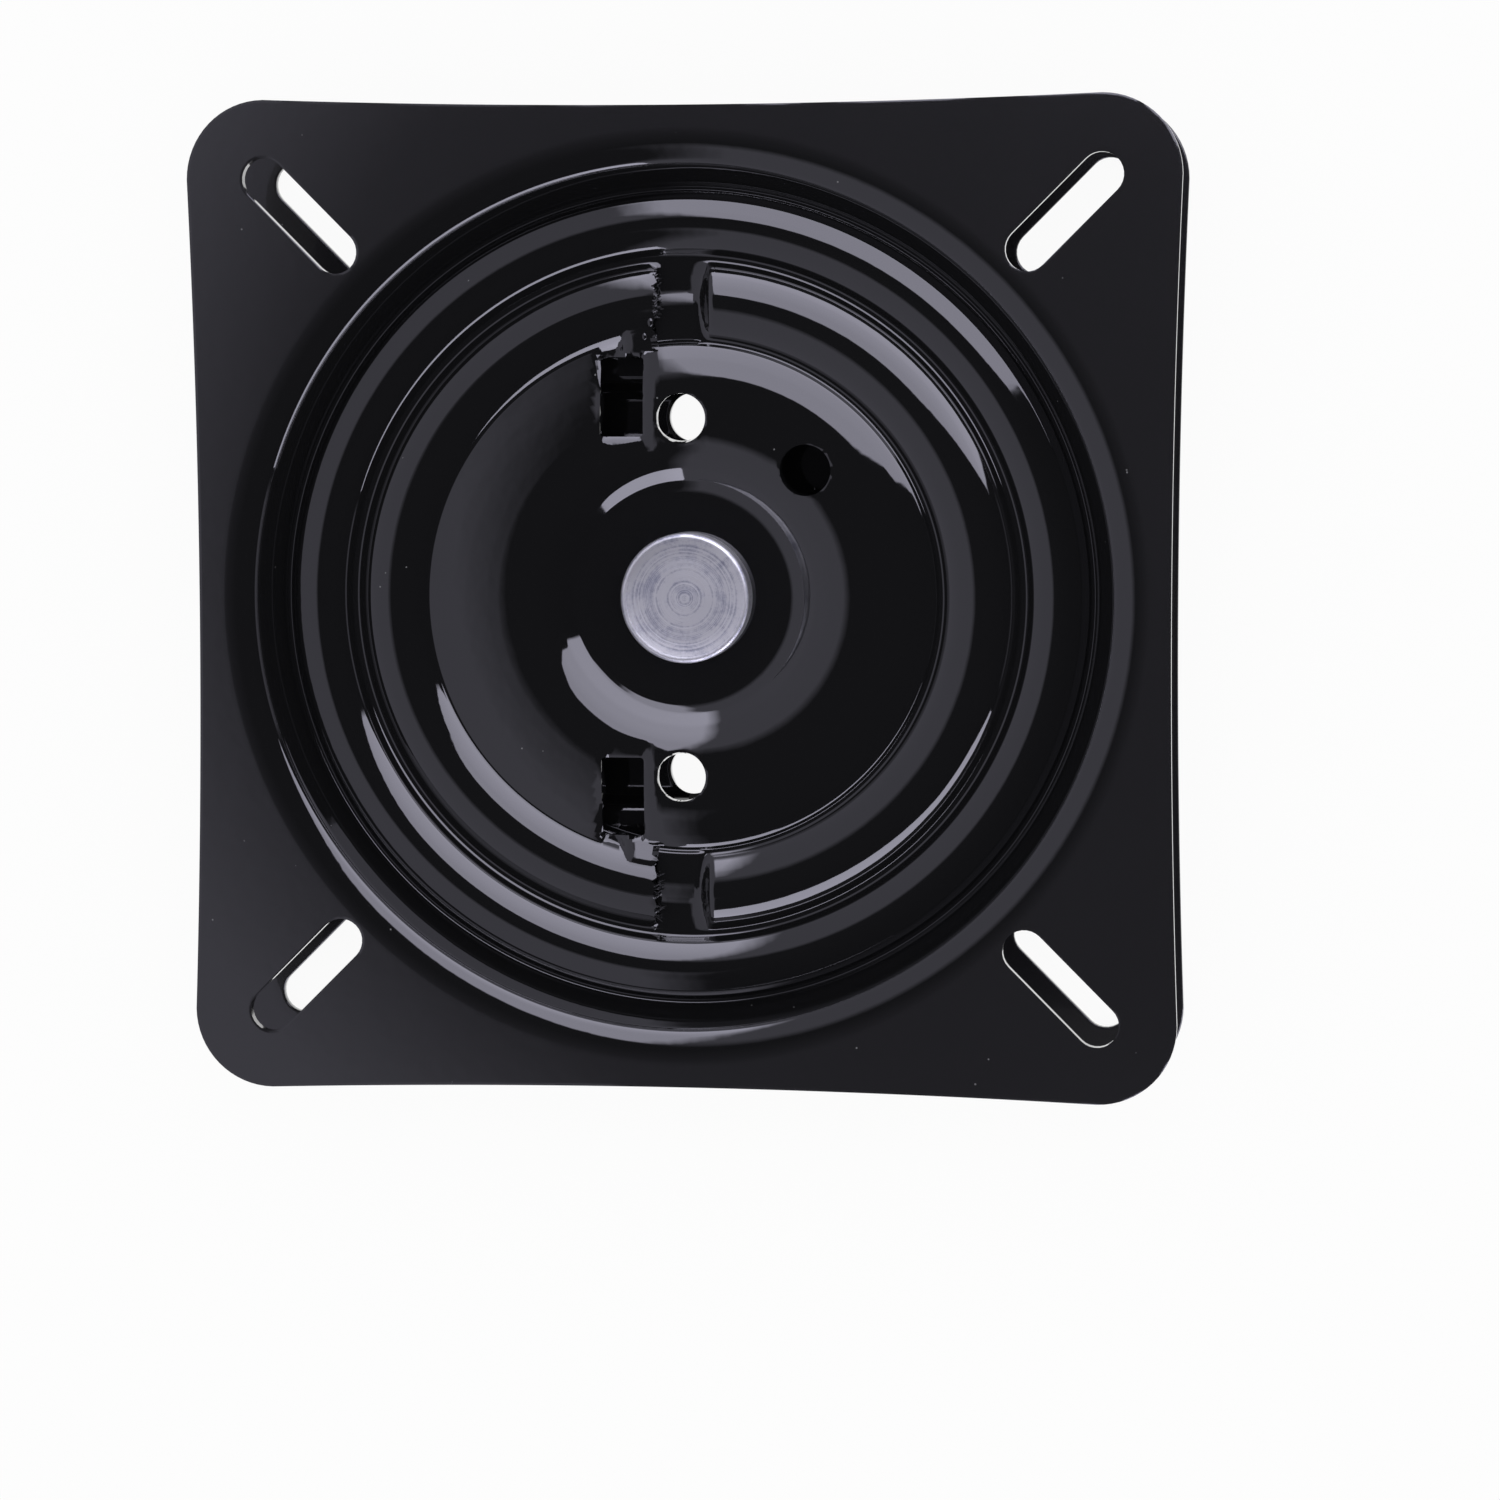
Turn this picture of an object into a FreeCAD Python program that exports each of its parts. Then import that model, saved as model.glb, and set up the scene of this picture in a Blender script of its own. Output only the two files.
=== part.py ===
import FreeCAD, Part
import math
import os

# Square swivel plate bearing: two identical square flanges whose pressed
# dishes meet on a ring of balls, a retaining disc below with a second ring
# of balls, and one large rivet that holds the stack together.
# Millimetres, +Z up, origin at the centre of the lower flange's underside.

# Overall sizes
corner_radius = 19.0
side_draw_in = 2.0
flange_margin = 6.0
sheet = 2.5
overall_height = 36.0
plate_gap = 3.0

# Slots on the flange diagonals
slot_width = 10.5
slot_travel = 17.5

# Inner ball race, between the lower plate and the retaining disc
inner_race_radius = 72.0
inner_ball_diameter = 7.94
inner_ball_count = 12
inner_foot_bend = 1.5
disc_gap = 3.0

# Outer ball race, between the two plates
race_spacing = 18.5
outer_ball_diameter = 11.11
outer_ball_count = 16
race_foot_bend = 3.0

# Dish wall between the flange and the outer ball race
race_to_wall = 11.1
wall_lean = 4.0
shoulder_width = 6.4
shoulder_bend = 3.0
wall_foot_bend = 3.0

# Fits shared by both races
race_clearance = 0.05
pocket_clearance = 0.12
race_slope_deg = 45.0

# Raised beads over the inner race
bead_rise = 4.2
bead_crest_bend = 10.0
bead_foot_bend = 1.2
bead_slope_deg = 36.5
bead_torn_x = -7.8
bead_formed_x = 4.6
bead_end_slope_deg = 62.0
bead_end_bend = 1.0

# Middle of the upper plate: recess, boss round it, and two unlike halves
recess_depth = 2.2
recess_floor_radius = 25.6
recess_floor_bend = 10.0
crease_radius = 28.3
crease_rise = 0.65
crease_bend = 0.5
boss_rise = 3.3
boss_foot_radius = 32.2
boss_foot_depth = 2.1
boss_foot_bend = 5.5
boss_radius = 38.0
boss_bend = 17.5
left_crown_inset = 28.2
left_crown_bend = 37.5
left_slope_inset = 18.0
left_slope_drop = 0.82
left_slope_bend = 42.5
left_edge_inset = 8.0
left_edge_drop = 1.97
left_foot_inset = 5.0
left_foot_bend = 1.0
right_rim_inset = 15.2
right_rim_bend = 16.5
right_foot_inset = 10.3
right_foot_bend = 1.0
halves_meet_x = -20.8

# Openings in the upper plate
window_width = 10.4
window_inner_inset = 33.0
window_outer_inset = 13.8
tool_hole_radius = 6.0
tool_hole_x = -1.0
tool_hole_inset = 28.5
spare_hole_radius = 6.2
spare_hole_inset = 29.34
spare_hole_angle_deg = 46.6

# Lower plate and retaining disc
bore_inset = 10.5
disc_rim_width = 8.0
bowl_underside = 2.4
bowl_inset = 13.5
bowl_flat_margin = 0.6
bowl_draft = 4.2
disc_hole_radius = 5.9

# Ball cages
outer_cage_half_width = 7.9
outer_cage_thickness = 1.8
inner_cage_half_width = 6.2
inner_cage_thickness = 1.6

# Centre rivet and its spacer
rivet_head_radius = 15.8
rivet_head_height = 6.5
rivet_head_bevel = 0.7
rivet_shank_radius = 7.0
rivet_tail_radius = 13.0
rivet_tail_clearance = 0.2
rivet_tail_bevel = 0.8
rivet_fit = 0.05
spacer_radius = 15.0

# Places that follow from the sizes above
outer_race_radius = inner_race_radius + race_spacing
dish_foot_radius = outer_race_radius + race_to_wall
dish_shoulder_radius = dish_foot_radius + wall_lean
dish_flat_radius = dish_shoulder_radius + shoulder_width
plate_side = 2 * (dish_flat_radius + flange_margin + side_draw_in)
slot_outer_offset = plate_side / 2 - corner_radius
slot_inner_offset = slot_outer_offset - slot_travel
window_inner_y = inner_race_radius - window_inner_inset
window_outer_y = inner_race_radius - window_outer_inset
tool_hole_y = inner_race_radius - tool_hole_inset
spare_hole_reach = inner_race_radius - spare_hole_inset
lower_plate_bore = inner_race_radius - bore_inset
disc_radius = inner_race_radius + disc_rim_width
bowl_mouth_radius = inner_race_radius - bowl_inset
bowl_mouth_flat = tool_hole_y + disc_hole_radius + bowl_flat_margin + bowl_draft
ball_plane = overall_height / 2
upper_valley = ball_plane + plate_gap / 2 + sheet
lower_valley = ball_plane - plate_gap / 2 - sheet
disc_top = lower_valley - disc_gap
inner_ball_plane = lower_valley - disc_gap / 2
outer_groove_radius = outer_ball_diameter / 2 + race_clearance
inner_groove_radius = inner_ball_diameter / 2 + race_clearance
recess_floor = upper_valley - recess_depth
boss_top = upper_valley + boss_rise
bowl_floor = bowl_underside + sheet
Z_AXIS = FreeCAD.Vector(0, 0, 1)
ORIGIN = FreeCAD.Vector(0, 0, 0)


def section_point(across, up):
    """A point of a section, drawn in the XZ plane."""
    return FreeCAD.Vector(across, 0, up)


def side_of_turn(before, corner, after):
    """+1 where the path turns left at the corner, -1 where it turns right."""
    first = corner - before
    second = after - corner
    return 1 if first.x * second.z - first.z * second.x > 0 else -1


def shifted_points(points, distance):
    """The same polyline moved sideways; positive is to the left of travel."""
    lines = []
    for start, end in zip(points, points[1:]):
        along = (end - start).normalize()
        shift = FreeCAD.Vector(-along.z, 0, along.x) * distance
        lines.append((start + shift, along))
    moved = [lines[0][0]]
    for (base, along), (other, other_along) in zip(lines, lines[1:]):
        across = other - base
        det = along.x * other_along.z - along.z * other_along.x
        reach = (across.x * other_along.z - across.z * other_along.x) / det
        moved.append(base + along * reach)
    last = (points[-1] - points[-2]).normalize()
    shift = FreeCAD.Vector(-last.z, 0, last.x) * distance
    moved.append(points[-1] + shift)
    return moved


def rounded_edges(points, radii):
    """Straight runs joined by tangent arcs, one radius for each inner corner."""
    edges = []
    start = points[0]
    for before, corner, after, radius in zip(points, points[1:], points[2:], radii):
        arriving = (corner - before).normalize()
        leaving = (after - corner).normalize()
        turn = arriving.getAngle(leaving)
        reach = radius * math.tan(turn / 2)
        arc_start = corner - arriving * reach
        arc_end = corner + leaving * reach
        inward = (leaving - arriving).normalize()
        middle = corner + inward * radius * (1 / math.cos(turn / 2) - 1)
        edges.append(Part.LineSegment(start, arc_start).toShape())
        edges.append(Part.Arc(arc_start, middle, arc_end).toShape())
        start = arc_end
    edges.append(Part.LineSegment(start, points[-1]).toShape())
    return edges


def both_surfaces(path, side):
    """The drawn surface of a bent sheet and its other surface, as edge lists.

    path holds (radius, height, inside bend); side is +1 where the sheet lies
    to the left of travel and -1 where it lies to the right.
    """
    points = [section_point(across, up) for across, up, bend in path]
    near = []
    far = []
    for index in range(1, len(points) - 1):
        turn = side_of_turn(*points[index - 1:index + 2])
        bend = path[index][2]
        near.append(bend + sheet if turn == side else bend)
        far.append(bend if turn == side else bend + sheet)
    other = shifted_points(points, side * sheet)
    return rounded_edges(points, near), rounded_edges(other, far)


def closed_face(*chains):
    """A face bounded by chains of edges whose ends are joined in order."""
    edges = []
    for chain in chains:
        edges.extend(chain)
    return Part.Face(Part.Wire(Part.sortEdges(edges)[0]))


def chain_ends(edges):
    """First and last point of a chain that runs outwards."""
    return edges[0].Vertexes[0].Point, edges[-1].Vertexes[-1].Point


def joining_lines(points):
    """Straight edges through a list of points."""
    return [Part.LineSegment(a, b).toShape() for a, b in zip(points, points[1:])]


def sheet_revolve(path, side):
    """A pressed round sheet of constant thickness about the Z axis."""
    near, far = both_surfaces(path, side)
    near_start, near_end = chain_ends(near)
    far_start, far_end = chain_ends(far)
    ends = joining_lines([near_end, far_end])
    if near_start.distanceToPoint(far_start) > 0:
        ends = ends + joining_lines([near_start, far_start])
    return closed_face(near, far, ends).revolve(ORIGIN, Z_AXIS, 360)


def crest_path(centre, valley, up, foot_bend, groove_radius, rise, slope_deg):
    """Corners of one round-topped rib over a ball, from foot to foot."""
    slope = math.radians(slope_deg)
    outer_radius = groove_radius + sheet
    tip = rise + outer_radius * (1 / math.cos(slope) - 1)
    half = tip / math.tan(slope)
    return [
        (centre - half, valley, foot_bend),
        (centre, valley + up * tip, groove_radius),
        (centre + half, valley, foot_bend),
    ]


def groove_path(centre, valley, up, foot_bend, groove_radius, ball_height):
    """Corners of a ball groove seen from the ball's side of the sheet."""
    slope = math.radians(race_slope_deg)
    depth = groove_radius - abs(valley - ball_height)
    tip = depth + groove_radius * (1 / math.cos(slope) - 1)
    half = tip / math.tan(slope)
    return [
        (centre - half, valley, foot_bend),
        (centre, valley + up * tip, groove_radius),
        (centre + half, valley, foot_bend),
    ]


def dish_path(valley, flange, up):
    """Outer race, dish wall and start of the flange, on the outer surface."""
    rise = outer_groove_radius - plate_gap / 2
    crest = crest_path(outer_race_radius, valley, up, race_foot_bend, outer_groove_radius,
                       rise, race_slope_deg)
    wall = [
        (dish_foot_radius, valley, wall_foot_bend),
        (dish_shoulder_radius, flange, shoulder_bend),
        (dish_flat_radius, flange, 0),
    ]
    return crest + wall


def slot(flange_bottom, quadrant_x, quadrant_y):
    """One slot through a flange, along its diagonal."""
    radius = slot_width / 2
    inner = FreeCAD.Vector(slot_inner_offset * quadrant_x, slot_inner_offset * quadrant_y, 0)
    outer = FreeCAD.Vector(slot_outer_offset * quadrant_x, slot_outer_offset * quadrant_y, 0)
    along = (outer - inner).normalize()
    aside = FreeCAD.Vector(-along.y, along.x, 0) * radius
    wire = Part.Wire([
        Part.LineSegment(inner + aside, outer + aside).toShape(),
        Part.Arc(outer + aside, outer + along * radius, outer - aside).toShape(),
        Part.LineSegment(outer - aside, inner - aside).toShape(),
        Part.Arc(inner - aside, inner - along * radius, inner + aside).toShape(),
    ])
    cutter = Part.Face(wire)
    cutter.translate(FreeCAD.Vector(0, 0, flange_bottom - sheet))
    return cutter.extrude(Z_AXIS * 3 * sheet)


def flange(bottom):
    """Square flange with drawn-in sides, rounded corners and four slots."""
    half = plate_side / 2
    start = half - corner_radius
    diagonal = start + corner_radius * math.sqrt(0.5)
    next_side = FreeCAD.Rotation(Z_AXIS, -90)
    side = [
        FreeCAD.Vector(start, -half, 0),
        FreeCAD.Vector(0, side_draw_in - half, 0),
        FreeCAD.Vector(-start, -half, 0),
    ]
    corner_middle = FreeCAD.Vector(-diagonal, -diagonal, 0)
    edges = []
    for _ in range(4):
        edges.append(Part.Arc(*side).toShape())
        following = [next_side.multVec(point) for point in side]
        edges.append(Part.Arc(side[2], corner_middle, following[0]).toShape())
        side = following
        corner_middle = next_side.multVec(corner_middle)
    plate = Part.Face(Part.Wire(edges)).extrude(Z_AXIS * sheet)
    plate.translate(Z_AXIS * bottom)
    plate = plate.cut(Part.makeCylinder(dish_flat_radius, sheet, Z_AXIS * bottom))
    for quadrant_x in (-1, 1):
        for quadrant_y in (-1, 1):
            plate = plate.cut(slot(bottom, quadrant_x, quadrant_y))
    return plate


def revolved(face, turn=360):
    """A face of the XZ plane turned about the Z axis."""
    return face.revolve(ORIGIN, Z_AXIS, turn)


def step_form(edge_x, side, low, high, slope_deg, bend, inner):
    """Everything on the raised side of a straight step that runs along Y.

    The step's foot is at edge_x and it rises towards side (+1 is +X). With
    inner set, the region is the one under the sheet.
    """
    run = (high - low) / math.tan(math.radians(slope_deg))
    far = edge_x + side * plate_side
    path = [
        (edge_x - side * plate_side, low, 0),
        (edge_x, low, bend),
        (edge_x + side * run, high, bend),
        (far, high, 0),
    ]
    near, under = both_surfaces(path, -side)
    surface = under if inner else near
    first, last = chain_ends(surface)
    depth = low - 4 * sheet
    corners = [last, section_point(last.x, depth), section_point(first.x, depth), first]
    region = closed_face(surface, joining_lines(corners))
    region.translate(FreeCAD.Vector(0, -plate_side / 2, 0))
    return region.extrude(FreeCAD.Vector(0, plate_side, 0))


def bead_path():
    """Raised bead over the inner race, with a run of flat sheet each side."""
    crest = crest_path(inner_race_radius, upper_valley, 1, bead_foot_bend, bead_crest_bend,
                       bead_rise, bead_slope_deg)
    reach = 3 * bead_foot_bend
    inner_end = (crest[0][0] - reach, upper_valley, 0)
    outer_end = (crest[2][0] + reach, upper_valley, 0)
    return [inner_end] + crest + [outer_end]


def raised_region(surface, floor_height):
    """Face between a raised surface and a flat floor under it.

    The flat runs at the surface's two ends are left off.
    """
    raised = surface[1:-1]
    first, last = chain_ends(raised)
    floor = [last, section_point(last.x, floor_height), section_point(first.x, floor_height), first]
    return closed_face(raised, joining_lines(floor))


def bead_form(inner):
    """Both beads as full-thickness forms, or the hollow under them."""
    near, under = both_surfaces(bead_path(), -1)
    surface = under if inner else near
    floor_height = upper_valley - (2 * sheet if inner else sheet / 2)
    ring = revolved(raised_region(surface, floor_height))
    left = ring.common(half_space(bead_torn_x, -1))
    formed = step_form(bead_formed_x, 1, upper_valley, upper_valley + bead_rise,
                       bead_end_slope_deg, bead_end_bend, inner)
    right = ring.common(half_space(0, 1)).common(formed)
    return left, right


def half_space(edge_x, side):
    """A large block on one side of the plane x = edge_x."""
    block = Part.makeBox(plate_side, 2 * plate_side, 2 * overall_height)
    left = edge_x if side > 0 else edge_x - plate_side
    block.translate(FreeCAD.Vector(left, -plate_side, -overall_height / 2))
    return block


def boss_path():
    """Recess under the rivet head and the slope up to the boss round it."""
    return [
        (0, recess_floor, 0),
        (recess_floor_radius, recess_floor, recess_floor_bend),
        (crease_radius, recess_floor + crease_rise, crease_bend),
        (boss_foot_radius, boss_top - boss_foot_depth, boss_foot_bend),
        (boss_radius, boss_top, boss_bend),
    ]


def left_middle():
    """Left half: a low dome that ends on the flank of the bead."""
    return boss_path() + [
        (inner_race_radius - left_crown_inset, boss_top, left_crown_bend),
        (inner_race_radius - left_slope_inset, boss_top - left_slope_drop, left_slope_bend),
        (inner_race_radius - left_edge_inset, boss_top - left_edge_drop, left_foot_bend),
        (inner_race_radius - left_foot_inset, upper_valley, left_foot_bend),
    ]


def right_middle():
    """Right half: a flat with a widely rounded rim."""
    return boss_path() + [
        (inner_race_radius - right_rim_inset, boss_top, right_rim_bend),
        (inner_race_radius - right_foot_inset, upper_valley, right_foot_bend),
    ]


def upper_plate():
    """The upper plate with its unlike halves, pressed beads, windows and holes."""
    rim = dish_path(upper_valley, overall_height, 1)
    left = sheet_revolve(left_middle() + rim, -1).common(half_space(halves_meet_x, -1))
    right = sheet_revolve(right_middle() + rim, -1).common(half_space(halves_meet_x, 1))
    plate = left.fuse([right, flange(overall_height - sheet)])
    left_bead, right_bead = bead_form(False)
    plate = plate.fuse([left_bead, right_bead])
    left_hollow, right_hollow = bead_form(True)
    plate = plate.cut([left_hollow, right_hollow])
    window_length = window_outer_y - window_inner_y
    for window_y in (window_inner_y, -window_outer_y):
        corner = FreeCAD.Vector(halves_meet_x, window_y, 0)
        window = Part.makeBox(window_width, window_length, overall_height, corner)
        plate = plate.cut(window)
    for hole_y in (tool_hole_y, -tool_hole_y):
        plate = plate.cut(bore(tool_hole_x, hole_y, tool_hole_radius))
    angle = math.radians(spare_hole_angle_deg)
    spare_x = spare_hole_reach * math.cos(angle)
    spare_y = spare_hole_reach * math.sin(angle)
    plate = plate.cut(bore(spare_x, spare_y, spare_hole_radius))
    plate = plate.cut(bore(0, 0, rivet_shank_radius + rivet_fit))
    return plate.removeSplitter()


def bore(across, along, radius):
    """A drill that runs through the whole height."""
    return Part.makeCylinder(radius, overall_height, FreeCAD.Vector(across, along, 0))


def lower_plate():
    """The lower plate: both races face the balls, and the middle is open."""
    inner_race = groove_path(inner_race_radius, lower_valley, 1, inner_foot_bend,
                             inner_groove_radius, inner_ball_plane)
    path = [(lower_plate_bore, lower_valley, 0)] + inner_race + dish_path(lower_valley, 0, -1)
    return sheet_revolve(path, 1).fuse(flange(0)).removeSplitter()


def barrel_outline(radius, half_flat, height):
    """A circle cut off by two straight sides that run along X."""
    reach = math.sqrt(radius ** 2 - half_flat ** 2)
    corners = [
        FreeCAD.Vector(reach, half_flat, height),
        FreeCAD.Vector(-reach, half_flat, height),
        FreeCAD.Vector(-reach, -half_flat, height),
        FreeCAD.Vector(reach, -half_flat, height),
    ]
    return Part.Wire([
        Part.LineSegment(corners[0], corners[1]).toShape(),
        Part.Arc(corners[1], FreeCAD.Vector(-radius, 0, height), corners[2]).toShape(),
        Part.LineSegment(corners[2], corners[3]).toShape(),
        Part.Arc(corners[3], FreeCAD.Vector(radius, 0, height), corners[0]).toShape(),
    ])


def bowl_form(growth, low, high):
    """Drafted bowl; growth is how far its wall stands outside the inner wall."""
    slope = bowl_draft / (disc_top - bowl_floor)
    outlines = []
    for height in (low, high):
        shift = growth - (disc_top - height) * slope
        outlines.append(barrel_outline(bowl_mouth_radius + shift, bowl_mouth_flat + shift, height))
    return Part.makeLoft(outlines, True, True)


def retaining_disc():
    """Bowl-shaped disc that carries the inner balls from below."""
    race = groove_path(inner_race_radius, disc_top, -1, inner_foot_bend,
                       inner_groove_radius, inner_ball_plane)
    path = [(0, disc_top, 0)] + race + [(disc_radius, disc_top, 0)]
    wall = sheet * math.hypot(1, bowl_draft / (disc_top - bowl_floor))
    disc = sheet_revolve(path, -1).fuse(bowl_form(wall, bowl_underside, disc_top - sheet / 2))
    disc = disc.cut(bowl_form(0, bowl_floor, disc_top + sheet))
    for hole_y in (tool_hole_y, -tool_hole_y):
        disc = disc.cut(bore(tool_hole_x, hole_y, disc_hole_radius))
    disc = disc.cut(bore(0, 0, rivet_shank_radius + rivet_fit))
    return disc.removeSplitter()


def cage(race_radius, half_width, thickness, ball_diameter, count, plane):
    """Flat ring with a round pocket for each ball."""
    low = plane - thickness / 2
    outer = Part.makeCylinder(race_radius + half_width, thickness, Z_AXIS * low)
    ring = outer.cut(Part.makeCylinder(race_radius - half_width, thickness, Z_AXIS * low))
    pocket_radius = ball_diameter / 2 + pocket_clearance
    pockets = [
        Part.makeCylinder(pocket_radius, thickness, centre - Z_AXIS * thickness / 2)
        for centre in ball_centres(race_radius, count, plane)
    ]
    return ring.cut(pockets)


def ball_centres(race_radius, count, plane):
    """Evenly spread places on a race, the first on +X."""
    centres = []
    for index in range(count):
        angle = math.radians(360 / count * index)
        centres.append(FreeCAD.Vector(race_radius * math.cos(angle), race_radius * math.sin(angle), plane))
    return centres


def centre_rivet():
    """Rivet with a wide flat head above and a set tail below."""
    head_base = recess_floor
    head_top = head_base + rivet_head_height
    tail_top = bowl_underside
    tail_base = rivet_tail_clearance
    points = [
        section_point(0, tail_base),
        section_point(rivet_tail_radius - rivet_tail_bevel, tail_base),
        section_point(rivet_tail_radius, tail_base + rivet_tail_bevel),
        section_point(rivet_tail_radius, tail_top),
        section_point(rivet_shank_radius, tail_top),
        section_point(rivet_shank_radius, head_base),
        section_point(rivet_head_radius, head_base),
        section_point(rivet_head_radius, head_top - rivet_head_bevel),
        section_point(rivet_head_radius - rivet_head_bevel, head_top),
        section_point(0, head_top),
        section_point(0, tail_base),
    ]
    return revolved(closed_face(joining_lines(points)))


def spacer_tube():
    """Tube that keeps the upper plate and the retaining disc apart."""
    low = bowl_floor
    length = recess_floor - sheet - low
    tube = Part.makeCylinder(spacer_radius, length, Z_AXIS * low)
    return tube.cut(Part.makeCylinder(rivet_shank_radius + rivet_fit, length, Z_AXIS * low))


def balls(prefix, race_radius, diameter, count, plane):
    """One node for each ball of a race."""
    nodes = {}
    for number, centre in enumerate(ball_centres(race_radius, count, plane), 1):
        nodes[f"{prefix}_{number:02d}"] = Part.makeSphere(diameter / 2, centre)
    return nodes


nodes = {
    "top_plate": upper_plate(),
    "bottom_plate": lower_plate(),
    "retaining_disc": retaining_disc(),
    "centre_rivet": centre_rivet(),
    "spacer_tube": spacer_tube(),
    "upper_cage": cage(outer_race_radius, outer_cage_half_width, outer_cage_thickness,
                       outer_ball_diameter, outer_ball_count, ball_plane),
    "lower_cage": cage(inner_race_radius, inner_cage_half_width, inner_cage_thickness,
                       inner_ball_diameter, inner_ball_count, inner_ball_plane),
}
nodes.update(balls("upper_ball", outer_race_radius, outer_ball_diameter, outer_ball_count, ball_plane))
nodes.update(balls("lower_ball", inner_race_radius, inner_ball_diameter, inner_ball_count,
                   inner_ball_plane))

os.makedirs("parts", exist_ok=True)
for name, shape in nodes.items():
    if not shape.isValid() or len(shape.Solids) != 1:
        print("check", name, "valid", shape.isValid(), "solids", len(shape.Solids))
    shape.exportStep(f"parts/{name}.step")
    print(name, round(shape.Volume, 1))
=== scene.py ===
import logging
import math
import random
from dataclasses import dataclass, replace
from enum import Enum
from functools import partialmethod
from typing import Dict, List, Optional, Sequence, Tuple, Union

import bmesh
import bpy
from mathutils import Matrix, Vector, noise


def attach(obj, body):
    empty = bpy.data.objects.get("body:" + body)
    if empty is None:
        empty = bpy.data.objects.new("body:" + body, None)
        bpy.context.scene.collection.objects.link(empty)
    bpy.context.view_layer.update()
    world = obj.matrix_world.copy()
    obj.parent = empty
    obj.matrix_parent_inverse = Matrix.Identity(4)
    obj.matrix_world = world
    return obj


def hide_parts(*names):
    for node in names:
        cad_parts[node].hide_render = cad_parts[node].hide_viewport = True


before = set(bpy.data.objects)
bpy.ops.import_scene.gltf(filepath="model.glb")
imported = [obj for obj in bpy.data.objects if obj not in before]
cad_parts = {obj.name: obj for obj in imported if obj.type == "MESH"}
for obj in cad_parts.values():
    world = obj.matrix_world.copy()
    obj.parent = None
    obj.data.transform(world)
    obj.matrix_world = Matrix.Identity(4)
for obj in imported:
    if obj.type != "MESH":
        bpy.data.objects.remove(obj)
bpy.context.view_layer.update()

# Lengths are in millimetres, apart from those in the finishes, which are in metres.

LOG = logging.getLogger("swivel_plate")
MM = 0.001
SHEET = 2.5
OVERALL_HEIGHT = 36.0
UPPER_VALLEY = 22.0
LOWER_VALLEY = 14.0
OUTER_RACE = 90.5
INNER_RACE = 72.0
INNER_GROOVE = (4.0, 4.02, 2.52)
OUTER_GROOVE = (3.0, 8.105, 4.105)
EDGE_ROUNDING = 0.45
SAME_POINT = 1e-6
SEAM_WELD = 1e-4
WELD = 1e-3
STEEL_GREY = (0.42, 0.41, 0.4, 1.0)
BALL_GREY = (0.62, 0.62, 0.62, 1.0)
NYLON = (0.62, 0.6, 0.52, 1.0)
PALE_NYLON = (0.7, 0.68, 0.6, 1.0)

Mesh = bmesh.types.BMesh
Edge = bmesh.types.BMEdge
Point = Tuple[float, float]
Span = Tuple[float, float]
Place = Tuple[float, float, float]
Colour = Tuple[float, float, float, float]


# Shader wiring

class Wire:
    """An output socket that takes part in Python arithmetic."""

    def __init__(self, tree: "ShaderTree", socket: bpy.types.NodeSocket) -> None:
        """Keep the socket and the tree it belongs to."""
        self.tree = tree
        self.socket = socket

    def maths(self, operation: str, *operands: "Value", clamp: bool = False) -> "Wire":
        """Add one Math node.

        Args:
            operation: Blender's name of the operation.
            operands: wires or numbers, in socket order.
            clamp: whether the result is held between 0 and 1.

        Returns:
            The node's output.
        """
        settings = {"operation": operation, "use_clamp": clamp}
        return self.tree.node("ShaderNodeMath", settings, dict(enumerate(operands)))

    def _join(self, other: "Value", operation: str, swapped: bool = False) -> "Wire":
        """Return this wire and another value joined by one Math node."""
        return self.maths(operation, *((other, self) if swapped else (self, other)))

    __add__ = partialmethod(_join, operation="ADD")
    __radd__ = partialmethod(_join, operation="ADD", swapped=True)
    __sub__ = partialmethod(_join, operation="SUBTRACT")
    __rsub__ = partialmethod(_join, operation="SUBTRACT", swapped=True)
    __mul__ = partialmethod(_join, operation="MULTIPLY")
    __rmul__ = partialmethod(_join, operation="MULTIPLY", swapped=True)
    __truediv__ = partialmethod(_join, operation="DIVIDE")
    __pow__ = partialmethod(_join, operation="POWER")

    def positive(self) -> "Wire":
        """Return the wire where it is above 0, and 0 elsewhere."""
        return self.maths("MAXIMUM", self, 0.0)

    def above(self, edge: float, softness: float) -> "Wire":
        """Rise from 0 to 1 as the wire passes an edge.

        Args:
            edge: the value at which the result is one half.
            softness: the width of the change.

        Returns:
            A mask between 0 and 1.
        """
        return self.maths("ADD", (self - edge) / softness, 0.5, clamp=True)

    def below(self, edge: float, softness: float) -> "Wire":
        """Fall from 1 to 0 as the wire passes an edge."""
        return 1 - self.above(edge, softness)


Value = Union[Wire, float, int, Sequence[float]]
Key = Union[str, int]


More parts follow.
